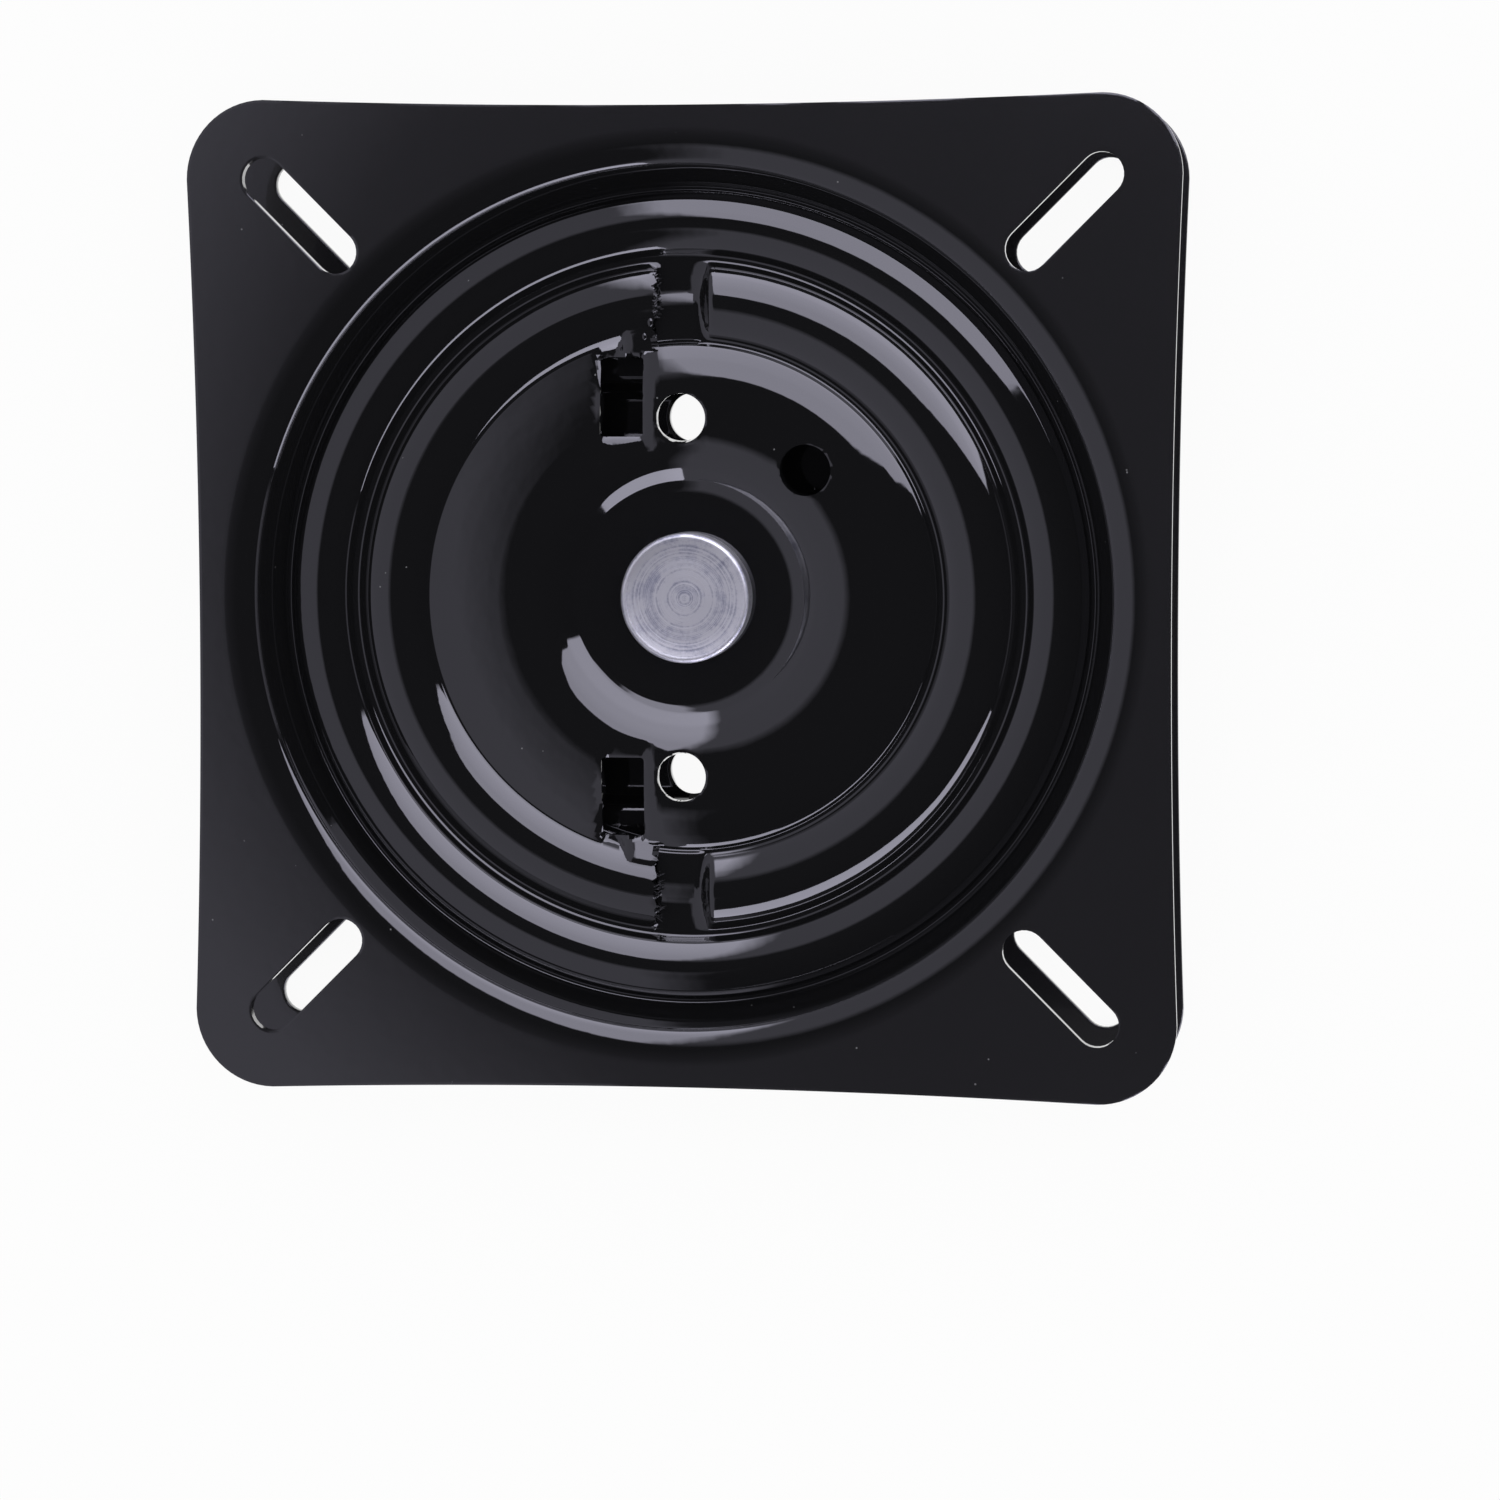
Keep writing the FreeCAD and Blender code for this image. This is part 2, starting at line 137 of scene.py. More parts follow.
class ShaderTree:
    """A node tree of a material or a world, filled by one node-making method."""

    def __init__(self, owner: Union[bpy.types.Material, bpy.types.World]) -> None:
        """Empty the owner's node tree, ready for new nodes."""
        owner.use_nodes = True
        self.owner = owner
        self.nodes = owner.node_tree.nodes
        self.links = owner.node_tree.links
        self.nodes.clear()

    def node(self, kind: str, settings: Optional[Dict[str, object]] = None,
             inputs: Optional[Dict[Key, Value]] = None, output: Key = 0) -> Wire:
        """Make a node, set it up and feed its sockets.

        Args:
            kind: Blender's type name of the node.
            settings: the node's own properties, which are set first.
            inputs: values or wires by socket name or number.
            output: the name or number of the socket to return.

        Returns:
            The chosen output socket, or None where the node has no outputs.
        """
        made = self.nodes.new(kind)
        for name, value in (settings or {}).items():
            setattr(made, name, value)
        for key, value in (inputs or {}).items():
            if isinstance(value, Wire):
                self.links.new(value.socket, made.inputs[key])
            else:
                made.inputs[key].default_value = value
        return Wire(self, made.outputs[output]) if len(made.outputs) else None

    def mix(self, factor: Value, first: Value, second: Value) -> Wire:
        """Mix two colours by a mask."""
        inputs = {0: factor, 6: first, 7: second}
        return self.node("ShaderNodeMix", {"data_type": "RGBA"}, inputs, 2)

    def place(self) -> Wire:
        """Return the place on the piece, in metres."""
        return self.node("ShaderNodeTexCoord", output="Object")

    def from_axis(self, place: Wire) -> Wire:
        """Return how far a place is from the Z axis."""
        flat = self.node("ShaderNodeVectorMath", {"operation": "MULTIPLY"},
                         {0: place, 1: (1.0, 1.0, 0.0)})
        return self.node("ShaderNodeVectorMath", {"operation": "LENGTH"}, {0: flat}, "Value")

    def ray(self, kind: str) -> Wire:
        """Return 1 for rays of a kind, such as "Camera", and 0 for others."""
        return self.node("ShaderNodeLightPath", output=f"Is {kind} Ray")

    def speckle(self, vector: Value, scale: float, detail: float = 2.0,
                roughness: float = 0.5) -> Wire:
        """Return soft noise between 0 and 1.

        Args:
            vector: the place where it is read.
            scale: how many features there are to the metre.
            detail: the number of finer layers.
            roughness: the strength of the finer layers.

        Returns:
            The noise value.
        """
        inputs = {"Vector": vector, "Scale": scale, "Detail": detail, "Roughness": roughness}
        return self.node("ShaderNodeTexNoise", {"noise_dimensions": "3D"}, inputs)

    def bump(self, height: Value, distance: float, strength: float = 1.0,
             normal: Optional[Wire] = None) -> Wire:
        """Turn a height into a normal.

        Args:
            height: the surface height between 0 and 1.
            distance: the real height of 1, in metres.
            strength: how much of it is used.
            normal: a normal to start from.

        Returns:
            The bumped normal.
        """
        inputs: Dict[Key, Value] = {"Height": height, "Distance": distance, "Strength": strength}
        if normal is not None:
            inputs["Normal"] = normal
        return self.node("ShaderNodeBump", {}, inputs, "Normal")

    def surface(self, shader: Wire) -> None:
        """Join a shader to the tree's output."""
        is_world = isinstance(self.owner, bpy.types.World)
        kind = "ShaderNodeOutputWorld" if is_world else "ShaderNodeOutputMaterial"
        self.node(kind, {}, {"Surface": shader})

    def principled(self, inputs: Dict[Key, Value]) -> bpy.types.Material:
        """Give the material a Principled shader and return the material."""
        self.surface(self.node("ShaderNodeBsdfPrincipled", {}, inputs, "BSDF"))
        return self.owner


# Finishes

@dataclass(frozen=True)
class GlossBlackPaint:
    """Baked gloss black paint with faint dust, hazier and slightly bowed on the flange, where a
    lighter colour is painted sheen standing in for reflected light.
    """

    name: str = "gloss_black_paint"
    colour: Colour = (0.0075, 0.0075, 0.0085, 1.0)
    roughness: float = 0.035
    coat_roughness: float = 0.03
    refraction: float = 1.5
    dust_colour: Colour = (0.16, 0.16, 0.17, 1.0)
    dust_haze: float = 0.5
    dust_per_metre: float = 160.0
    dust_size: float = 0.034
    dust_patches_per_metre: float = 37.0
    smears_per_metre: float = 28.0
    smear_haze: float = 0.012
    # Painted sheen: the flange gets a lighter copy of the paint colour in place of the light it
    # reflects.
    flange_painted_sheen_colour: Colour = (0.0150, 0.0146, 0.0176, 1.0)
    flange_haze: float = 0.16
    flange_radius: float = 0.1100
    flange_droop: float = 0.033
    corner_droop: float = 0.45
    peel_per_metre: float = 260.0
    peel_height: float = 0.000012
    sway_per_metre: float = 14.0
    sway_height: float = 0.00012

    def build(self) -> bpy.types.Material:
        """Return the material."""
        tree = ShaderTree(bpy.data.materials.new(self.name))
        place = tree.place()
        grain = tree.node("ShaderNodeTexVoronoi", {},
                          {"Vector": place, "Scale": self.dust_per_metre}, "Distance")
        patches = tree.speckle(place, self.dust_patches_per_metre, 1.0)
        dust = grain.below(self.dust_size, 0.02) * patches.above(0.56, 0.03)
        smear = tree.speckle(place, self.smears_per_metre, 3.0).above(0.60, 0.25)
        beyond = tree.from_axis(place) - self.flange_radius
        flange = beyond.above(0.001, 0.004)
        # Painted sheen: the lighter paint colour on the flange stands in for reflected light.
        paint = tree.mix(flange, self.colour, self.flange_painted_sheen_colour)
        haze = dust * self.dust_haze + smear * self.smear_haze + flange * self.flange_haze
        past = beyond.positive()
        droop = past * -self.flange_droop - past * past * self.corner_droop
        normal = tree.bump(droop, 1.0)
        for scale, detail, height in ((self.sway_per_metre, 0.0, self.sway_height),
                                      (self.peel_per_metre, 1.0, self.peel_height)):
            normal = tree.bump(tree.speckle(place, scale, detail), height, normal=normal)
        return tree.principled({
            "Base Color": tree.mix(dust, paint, self.dust_colour),
            "Roughness": self.roughness + haze, "IOR": self.refraction, "Coat Weight": 1.0,
            "Coat Roughness": self.coat_roughness, "Coat IOR": self.refraction,
            "Normal": normal, "Coat Normal": normal})


@dataclass(frozen=True)
class ZincPlate:
    """Bright zinc on a turned face, with blue smudges."""

    name: str = "zinc_plate"
    light: Colour = (0.84, 0.84, 0.85, 1.0)
    dark: Colour = (0.30, 0.31, 0.38, 1.0)
    roughness: float = 0.36
    rings_per_metre: float = 1500.0
    ring_height: float = 0.0001
    ring_wobble: float = 0.0003
    wobble_per_metre: float = 220.0
    wide_rings_per_metre: float = 260.0
    mottle_per_metre: float = 190.0
    fine_per_metre: float = 1400.0
    fine_height: float = 0.00002

    def build(self) -> bpy.types.Material:
        """Return the material."""
        tree = ShaderTree(bpy.data.materials.new(self.name))
        place = tree.place()
        wobble = tree.speckle(place, self.wobble_per_metre, 3.0) * self.ring_wobble
        ring_place = tree.node("ShaderNodeCombineXYZ", {}, {"X": tree.from_axis(place) + wobble})
        rings = tree.speckle(ring_place, self.rings_per_metre, 4.0, 0.7)
        wide_rings = tree.speckle(ring_place, self.wide_rings_per_metre, 2.0)
        mottle = tree.speckle(place, self.mottle_per_metre, 6.0, 0.65)
        fine = tree.speckle(place, self.fine_per_metre, 2.0, 0.8)
        shade = wide_rings * 0.5 + mottle * 0.5 + rings * 0.9 + fine * 0.15
        dirt = shade.below(0.965, 0.17)
        return tree.principled({
            "Base Color": tree.mix(dirt, self.light, self.dark), "Metallic": 1.0,
            "Roughness": self.roughness + rings * 0.14 + dirt * 0.1,
            "Normal": tree.bump(rings, self.ring_height, 0.6,
                                tree.bump(fine, self.fine_height, 0.4))})


@dataclass(frozen=True)
class GrainedFinish:
    """Plain steel or moulded nylon, with fine noise in its roughness and colour."""

    name: str
    colour: Colour
    pale_colour: Colour
    metallic: float
    roughness: float
    roughness_spread: float = 0.08
    grain_per_metre: float = 900.0
    grain_height: float = 0.00001

    def build(self) -> bpy.types.Material:
        """Return the material."""
        tree = ShaderTree(bpy.data.materials.new(self.name))
        grain = tree.speckle(tree.place(), self.grain_per_metre, 3.0)
        return tree.principled({
            "Base Color": tree.mix(grain, self.colour, self.pale_colour),
            "Metallic": self.metallic, "Roughness": self.roughness + grain * self.roughness_spread,
            "Normal": tree.bump(grain, self.grain_height, 0.3)})


# Pressed sections

@dataclass(frozen=True)
class Bend:
    """Where two straight runs of a section would meet, and the radius that joins them."""

    across: float
    up: float
    radius: float = 0.0


@dataclass(frozen=True)
class Run:
    """One straight or round stretch of a section."""

    start: float
    end: float
    start_up: float
    end_up: float
    centre: Optional[Point] = None
    radius: float = 0.0
    side: int = 0

    def height(self, across: float) -> float:
        """Return the stretch's height at a distance from the axis."""
        if self.centre is None:
            share = (across - self.start) / (self.end - self.start)
            return self.start_up + share * (self.end_up - self.start_up)
        reach = max(self.radius ** 2 - (across - self.centre[0]) ** 2, 0.0)
        return self.centre[1] + self.side * math.sqrt(reach)


class Section:
    """A filleted outline, read as a height at each distance from the axis."""

    near_bend: float = 0.35
    widest: float = 4.5

    def __init__(self, bends: Sequence[Bend], arc_step_deg: float = 7.5) -> None:
        """Work out the straight and round stretches between the bends.

        Args:
            bends: the corners, from the axis outwards.
            arc_step_deg: how finely round stretches are divided.
        """
        self.runs: List[Run] = []
        self.stations: List[float] = [bends[0].across]
        at = Vector((bends[0].across, bends[0].up))
        for before, bend, after in zip(bends, bends[1:], bends[2:]):
            corner = Vector((bend.across, bend.up))
            arriving = (corner - Vector((before.across, before.up))).normalized()
            leaving = (Vector((after.across, after.up)) - corner).normalized()
            turn = arriving.angle_signed(leaving)
            reach = bend.radius * math.tan(abs(turn) / 2)
            arc_start = corner - arriving * reach
            arc_end = corner + leaving * reach
            self._straight(at, arc_start)
            self._round(arc_start, arc_end, arriving, bend.radius, turn, arc_step_deg)
            at = arc_end
        last = Vector((bends[-1].across, bends[-1].up))
        self._straight(at, last)

    def _straight(self, start: Vector, end: Vector) -> None:
        """Add a straight stretch, with a station near each end and others between."""
        length = end.x - start.x
        if length < SAME_POINT:
            return
        self.runs.append(Run(start.x, end.x, start.y, end.y))
        if length > 4 * self.near_bend:
            self.stations.extend((start.x + self.near_bend, end.x - self.near_bend))
        count = math.ceil(length / self.widest)
        self.stations.extend(start.x + length * i / count for i in range(1, count + 1))

    def _round(self, start: Vector, end: Vector, arriving: Vector, radius: float, turn: float,
               step_deg: float) -> None:
        """Add a round stretch, if it has any length; a negative turn goes upwards."""
        if end.x - start.x < SAME_POINT:
            return
        upward = 1 if turn < 0 else -1
        centre = start + Vector((-arriving.y, arriving.x)) * radius * upward
        self.runs.append(Run(start.x, end.x, start.y, end.y, (centre.x, centre.y), radius, -upward))
        first = math.atan2(start.y - centre.y, start.x - centre.x)
        last = math.atan2(end.y - centre.y, end.x - centre.x)
        swept = (last - first + math.pi) % (2 * math.pi) - math.pi
        count = max(2, math.ceil(abs(math.degrees(swept)) / step_deg))
        for index in range(1, count + 1):
            self.stations.append(centre.x + radius * math.cos(first + swept * index / count))

    def height(self, across: float) -> float:
        """Return the height at a distance from the axis, held level past both ends."""
        if across <= self.runs[0].start:
            return self.runs[0].start_up
        for run in self.runs:
            if across <= run.end:
                return run.height(across)
        return self.runs[-1].end_up


def ball_rib(centre: float, valley: float, up: int, foot: float, crest: float, rise: float,
             slope_deg: float = 45.0) -> List[Bend]:
    """Corners of a round-topped rib over a ball race.

    Args:
        centre: the race's radius.
        valley: the level that it rises from.
        up: +1 for a rib above the valley, -1 for one below.
        foot: radius of its foot.
        crest: radius of its top.
        rise: how far its top stands out.
        slope_deg: how steep its sides are.

    Returns:
        The bends from the inner foot to the outer foot.
    """
    slope = math.radians(slope_deg)
    tip = rise + crest * (1 / math.cos(slope) - 1)
    half = tip / math.tan(slope)
    return [Bend(centre - half, valley, foot), Bend(centre, valley + up * tip, crest),
            Bend(centre + half, valley, foot)]


def soft_min(first: float, second: float, blend: float) -> float:
    """Return the lower of two heights, with the crease between them rounded."""
    share = min(max(0.5 + 0.5 * (second - first) / blend, 0.0), 1.0)
    return second * (1 - share) + first * share - blend * share * (1 - share)


def soft_max(first: float, second: float, blend: float) -> float:
    """Return the higher of two heights, with the crease between them rounded."""
    return -soft_min(-first, -second, blend)


def ease(value: float, start: float, end: float) -> float:
    """Rise smoothly from 0 to 1 between two values."""
    share = min(max((value - start) / (end - start), 0.0), 1.0)
    return share * share * (3 - 2 * share)


# Mesh building

def finish_mesh(mesh: Mesh, name: str, material: bpy.types.Material,
                sharp_deg: float = 38.0) -> bpy.types.Object:
    """Turn a mesh in millimetres into a smooth-shaded object in metres.

    Args:
        mesh: the mesh, which is freed.
        name: the object's name.
        material: its finish.
        sharp_deg: edges bent more than this stay crisp.

    Returns:
        The object, linked to the scene.
    """
    bmesh.ops.scale(mesh, vec=(MM, MM, MM), verts=mesh.verts)
    for face in mesh.faces:
        face.smooth = True
    data = bpy.data.meshes.new(name)
    mesh.to_mesh(data)
    mesh.free()
    data.set_sharp_from_angle(angle=math.radians(sharp_deg))
    data.materials.append(material)
    return place_object(name, data)


def place_object(name: str, data: bpy.types.ID) -> bpy.types.Object:
    """Make an object from a mesh, camera or lamp and link it to the scene."""
    made = bpy.data.objects.new(name, data)
    bpy.context.scene.collection.objects.link(made)
    return made


def spin_line(mesh: Mesh, outline: Sequence[Point], steps: int) -> None:
    """Turn a line of points about the Z axis into a closed band.

    Args:
        mesh: where the band is made.
        outline: distance from the axis and height of each point.
        steps: the number of divisions round the axis.
    """
    points = [mesh.verts.new((across, 0.0, up)) for across, up in outline]
    edges = [mesh.edges.new(pair) for pair in zip(points, points[1:])]
    bmesh.ops.spin(mesh, geom=points + edges, cent=(0, 0, 0), axis=(0, 0, 1), angle=2 * math.pi,
                   steps=steps, use_merge=True, use_duplicate=False)
    bmesh.ops.remove_doubles(mesh, verts=mesh.verts, dist=SEAM_WELD)


def closed_loop(mesh: Mesh, points: Sequence[Point], up: float) -> List[Edge]:
    """Make a closed loop of edges at one level and return its edges."""
    corners = [mesh.verts.new((x, y, up)) for x, y in points]
    return [mesh.edges.new(pair) for pair in zip(corners, corners[1:] + corners[:1])]


def arc_points(centre: Point, radius: float, start_deg: float, end_deg: float,
               count: int) -> List[Point]:
    """Return points along an arc, both ends included."""
    sweep = end_deg - start_deg
    angles = [math.radians(start_deg + sweep * i / count) for i in range(count + 1)]
    return [(centre[0] + radius * math.cos(a), centre[1] + radius * math.sin(a)) for a in angles]


@dataclass(frozen=True)
class SquareFlange:
    """The flat square round a dish: drawn-in sides, rounded corners and four slots."""

    side: float = 240.0
    corner_radius: float = 19.0
    draw_in: float = 2.0
    slot_width: float = 10.5
    slot_inner: float = 83.5
    slot_outer: float = 101.0
    collar: float = 0.7
    side_divisions: int = 36
    corner_divisions: int = 16
    slot_divisions: int = 14

    def outline(self, inset: float) -> List[Point]:
        """Return the outline, moved inwards by a distance."""
        half = self.side / 2
        centre = half - self.corner_radius
        points: List[Point] = []
        for quarter in range(4):
            turn = Matrix.Rotation(math.radians(90 * quarter), 2)
            stretch = [Vector(p) for p in arc_points((centre, centre), self.corner_radius - inset,
                                                     0, 90, self.corner_divisions)]
            for index in range(1, self.side_divisions):
                share = 1 - 2 * index / self.side_divisions
                bow = self.draw_in * (1 - share * share)
                stretch.append(Vector((centre * share, half - inset - bow)))
            points.extend(tuple(turn @ point) for point in stretch)
        return points

    def slot(self, quarter: int, growth: float) -> List[Point]:
        """Return one slot's outline, grown by a distance."""
        radius = self.slot_width / 2 + growth
        reach = math.sqrt(2.0)
        outer = arc_points((self.slot_outer * reach, 0), radius, -90, 90, self.slot_divisions)
        inner = arc_points((self.slot_inner * reach, 0), radius, 90, 270, self.slot_divisions)
        turn = Matrix.Rotation(math.radians(45 + 90 * quarter), 2)
        return [tuple(turn @ Vector(point)) for point in outer + inner]

    def build(self, mesh: Mesh, inner_edges: List[Edge], level: float) -> None:
        """Fill the flat between the dish's edge and the outline.

        Args:
            mesh: the mesh that holds the dish.
            inner_edges: the dish's outermost loop.
            level: the flange's height.
        """
        borders = list(inner_edges)
        pairs = [(self.outline(0.0), self.outline(self.collar))]
        pairs += [(self.slot(q, 0.0), self.slot(q, self.collar)) for q in range(4)]
        for trimmed, collar in pairs:
            trimmed_edges = closed_loop(mesh, trimmed, level)
            collar_edges = closed_loop(mesh, collar, level)
            bmesh.ops.bridge_loops(mesh, edges=trimmed_edges + collar_edges)
            borders.extend(collar_edges)
        bmesh.ops.triangle_fill(mesh, edges=borders, use_beauty=True, use_dissolve=False,
                                normal=(0, 0, 1))


@dataclass(frozen=True)
class Opening:
    """A round or round-cornered opening through an unpressed sheet."""

    x: float
    y: float
    half_width: float
    half_height: float
    corner: float
    collar: float = 0.9
    clearance: float = 0.25
    face_clearance: float = 0.65
    pitch: float = 1.0
    corner_divisions: int = 5

    def outline(self, growth: float) -> List[Point]:
        """Return the outline, grown by a distance."""
        across = self.half_width - self.corner
        along = self.half_height - self.corner
        arcs = [arc_points((self.x + side_x * across, self.y + side_y * along),
                           self.corner + growth, start, start + 90, self.corner_divisions)
                for side_x, side_y, start in ((1, 1, 0), (-1, 1, 90), (-1, -1, 180), (1, -1, 270))]
        divisions = max(1, round(2 * max(across, along) / self.pitch))
        points: List[Point] = []
        for arc, following in zip(arcs, arcs[1:] + arcs[:1]):
            points.extend(arc + between(arc[-1], following[0], divisions))
        return [p for i, p in enumerate(points) if math.dist(p, points[i - 1]) > SAME_POINT]

    def distance(self, point: Vector) -> float:
        """Return how far a point is outside the outline, negative inside it."""
        away_x = abs(point.x - self.x) - self.half_width + self.corner
        away_y = abs(point.y - self.y) - self.half_height + self.corner
        outside = math.hypot(max(away_x, 0), max(away_y, 0))
        return outside + min(max(away_x, away_y), 0) - self.corner

    def pierce(self, mesh: Mesh) -> None:
        """Cut the opening and give it a collar of even faces."""
        clear = self.collar + self.clearance
        gone = [f for f in mesh.faces
                if self.distance(f.calc_center_median()) < clear + self.face_clearance
                or min(self.distance(v.co) for v in f.verts) < clear]
        border = {e for f in gone for e in f.edges}
        bmesh.ops.delete(mesh, geom=gone, context="FACES_ONLY")
        loose = [e for e in border if e.is_valid and not e.link_faces]
        border = [e for e in border if e.is_valid and len(e.link_faces) == 1]
        bmesh.ops.delete(mesh, geom=loose, context="EDGES")
        stray = [v for v in mesh.verts if not v.link_edges]
        bmesh.ops.delete(mesh, geom=stray, context="VERTS")
        rim = closed_loop(mesh, self.outline(0.0), 0.0)
        collar = closed_loop(mesh, self.outline(self.collar), 0.0)
        bmesh.ops.bridge_loops(mesh, edges=rim + collar)
        bmesh.ops.triangle_fill(mesh, edges=collar + border, use_beauty=True, use_dissolve=False,
                                normal=(0, 0, 1))


def between(start: Point, end: Point, count: int) -> List[Point]:
    """Return the points that divide a line, without its ends."""
    run, rise = end[0] - start[0], end[1] - start[1]
    return [(start[0] + run * i / count, start[1] + rise * i / count) for i in range(1, count)]


def round_hole(x: float, y: float, radius: float) -> Opening:
    """Return a round opening."""
    return Opening(x, y, radius, radius, radius, corner_divisions=14)


def both_sides(opening: Opening) -> Tuple[Opening, Opening]:
    """Return an opening and its twin across the X axis."""
    return opening, replace(opening, y=-opening.y)


def score(mesh: Mesh, along_x: bool, place: float, low: float, high: float,
          reach: float = math.inf) -> None:
    """Add a straight line of edges across part of the sheet.

    Args:
        mesh: the unpressed sheet.
        along_x: whether the line runs along X rather than along Y.
        place: the line's other coordinate.
        low: nearest distance from the axis that it crosses.
        high: farthest distance from the axis that it crosses.
        reach: how far the line runs each way.
    """
    index, other = (0, 1) if along_x else (1, 0)
    faces = [f for f in mesh.faces if low < f.calc_center_median().length < high
             and abs(f.calc_center_median()[index]) < reach
             and min(v.co[other] for v in f.verts) < place < max(v.co[other] for v in f.verts)]
    edges = {e for f in faces for e in f.edges}
    verts = {v for f in faces for v in f.verts}
    normal = Vector((0, 1, 0)) if along_x else Vector((1, 0, 0))
    bmesh.ops.bisect_plane(mesh, geom=faces + list(edges) + list(verts), dist=WELD,
                           plane_co=normal * place, plane_no=normal)


class Slot(Enum):
    """The record's material slots."""

    PAINT = "black_paint"
    ZINC = "zinc_rivet"
    STEEL = "plain_steel"
    BALL = "ball_steel"
    CAGE = "cage_plastic"


class SheetSide(Enum):
    """The side of the drawn surface on which the sheet's thickness lies."""

    BELOW = "below"
    ABOVE = "above"


Finishes = Dict[Slot, bpy.types.Material]


@dataclass
class PressedSheet:
    """A round pressed sheet: spun flat, pressed to its heights, then given its thickness."""

    node: str
    body: str
    side: SheetSide = SheetSide.BELOW
    steps: int = 280
    ring_spacing: float = 0.12
    cut_edge_deg: float = 72.0
    openings: Tuple[Opening, ...] = ()
    flange: Optional[SquareFlange] = None
    flange_level: float = 0.0
    flat_radius: float = 112.0

    def __post_init__(self) -> None:
        """Draw the sections that the sheet is pressed to."""
        self.dish = Section([Bend(0.0, 0.0), Bend(self.flat_radius, 0.0)])

    def rings(self) -> List[float]:
        """Return the radii at which the sheet gets a ring of points."""
        return self.dish.stations

    def height(self, x: float, y: float) -> float:
        """Return the height of the drawn surface at a place."""
        return self.dish.height(math.hypot(x, y))

    def mark(self, mesh: Mesh) -> None:
        """Add the straight lines along which the sheet is bent."""

    def detail(self, mesh: Mesh) -> None:
        """Add what stands on the finished sheet."""

    def sharp_cut(self, place: Vector) -> bool:
        """Return whether a cut edge stays sharp at a place."""
        return False

    def round_edges(self, mesh: Mesh) -> None:
        """Round the cut edges of the sheet."""
        edges = [e for e in mesh.edges if len(e.link_faces) == 2
                 and e.calc_face_angle(0.0) > math.radians(self.cut_edge_deg)
                 and not self.sharp_cut((e.verts[0].co + e.verts[1].co) / 2)]
        bmesh.ops.bevel(mesh, geom=edges, offset=EDGE_ROUNDING, offset_type="OFFSET", segments=3,
                        profile=0.5, affect="EDGES", clamp_overlap=True, material=-1)

    def build(self, finishes: Finishes) -> bpy.types.Object:
        """Make the sheet.

        Args:
            finishes: the material of each slot.

        Returns:
            The object that stands for the CAD node.
        """
        mesh = bmesh.new()
        kept: List[float] = []
        for ring in sorted(self.rings()):
            if not kept or ring - kept[-1] > self.ring_spacing:
                kept.append(ring)
        spin_line(mesh, [(ring, 0.0) for ring in kept], self.steps)
        self.mark(mesh)
        for opening in self.openings:
            opening.pierce(mesh)
        for vert in mesh.verts:
            vert.co.z = self.height(vert.co.x, vert.co.y)
        if self.flange is not None:
            outermost = [e for e in mesh.edges if e.is_boundary
                         and min(v.co.xy.length for v in e.verts) > self.flat_radius - 0.1]
            self.flange.build(mesh, outermost, self.flange_level)
        bmesh.ops.remove_doubles(mesh, verts=mesh.verts, dist=WELD)
        bmesh.ops.recalc_face_normals(mesh, faces=mesh.faces)
        upward = sum(f.normal.z * f.calc_area() for f in mesh.faces) > 0
        if upward != (self.side is SheetSide.BELOW):
            bmesh.ops.reverse_faces(mesh, faces=mesh.faces)
        bmesh.ops.solidify(mesh, geom=mesh.faces, thickness=SHEET)
        mesh.normal_update()
        self.round_edges(mesh)
        self.detail(mesh)
        made = finish_mesh(mesh, f"{self.node}_pressed", finishes[Slot.PAINT])
        return dress(made, self.body, Slot.PAINT, self.node)


def dress(piece: bpy.types.Object, body: str, slot: Slot, *nodes: str) -> bpy.types.Object:
    """Attach a new piece to the body it rides on and hide the CAD nodes that it stands for.

    Args:
        piece: the new object.
        body: the body that it rides on.
        slot: its material slot; not used.
        nodes: the CAD nodes that it stands for.

    Returns:
        The piece.
    """
    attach(piece, body)
    if nodes:
        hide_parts(*nodes)
    LOG.info("%s: %d faces", piece.name, len(piece.data.polygons))
    return piece


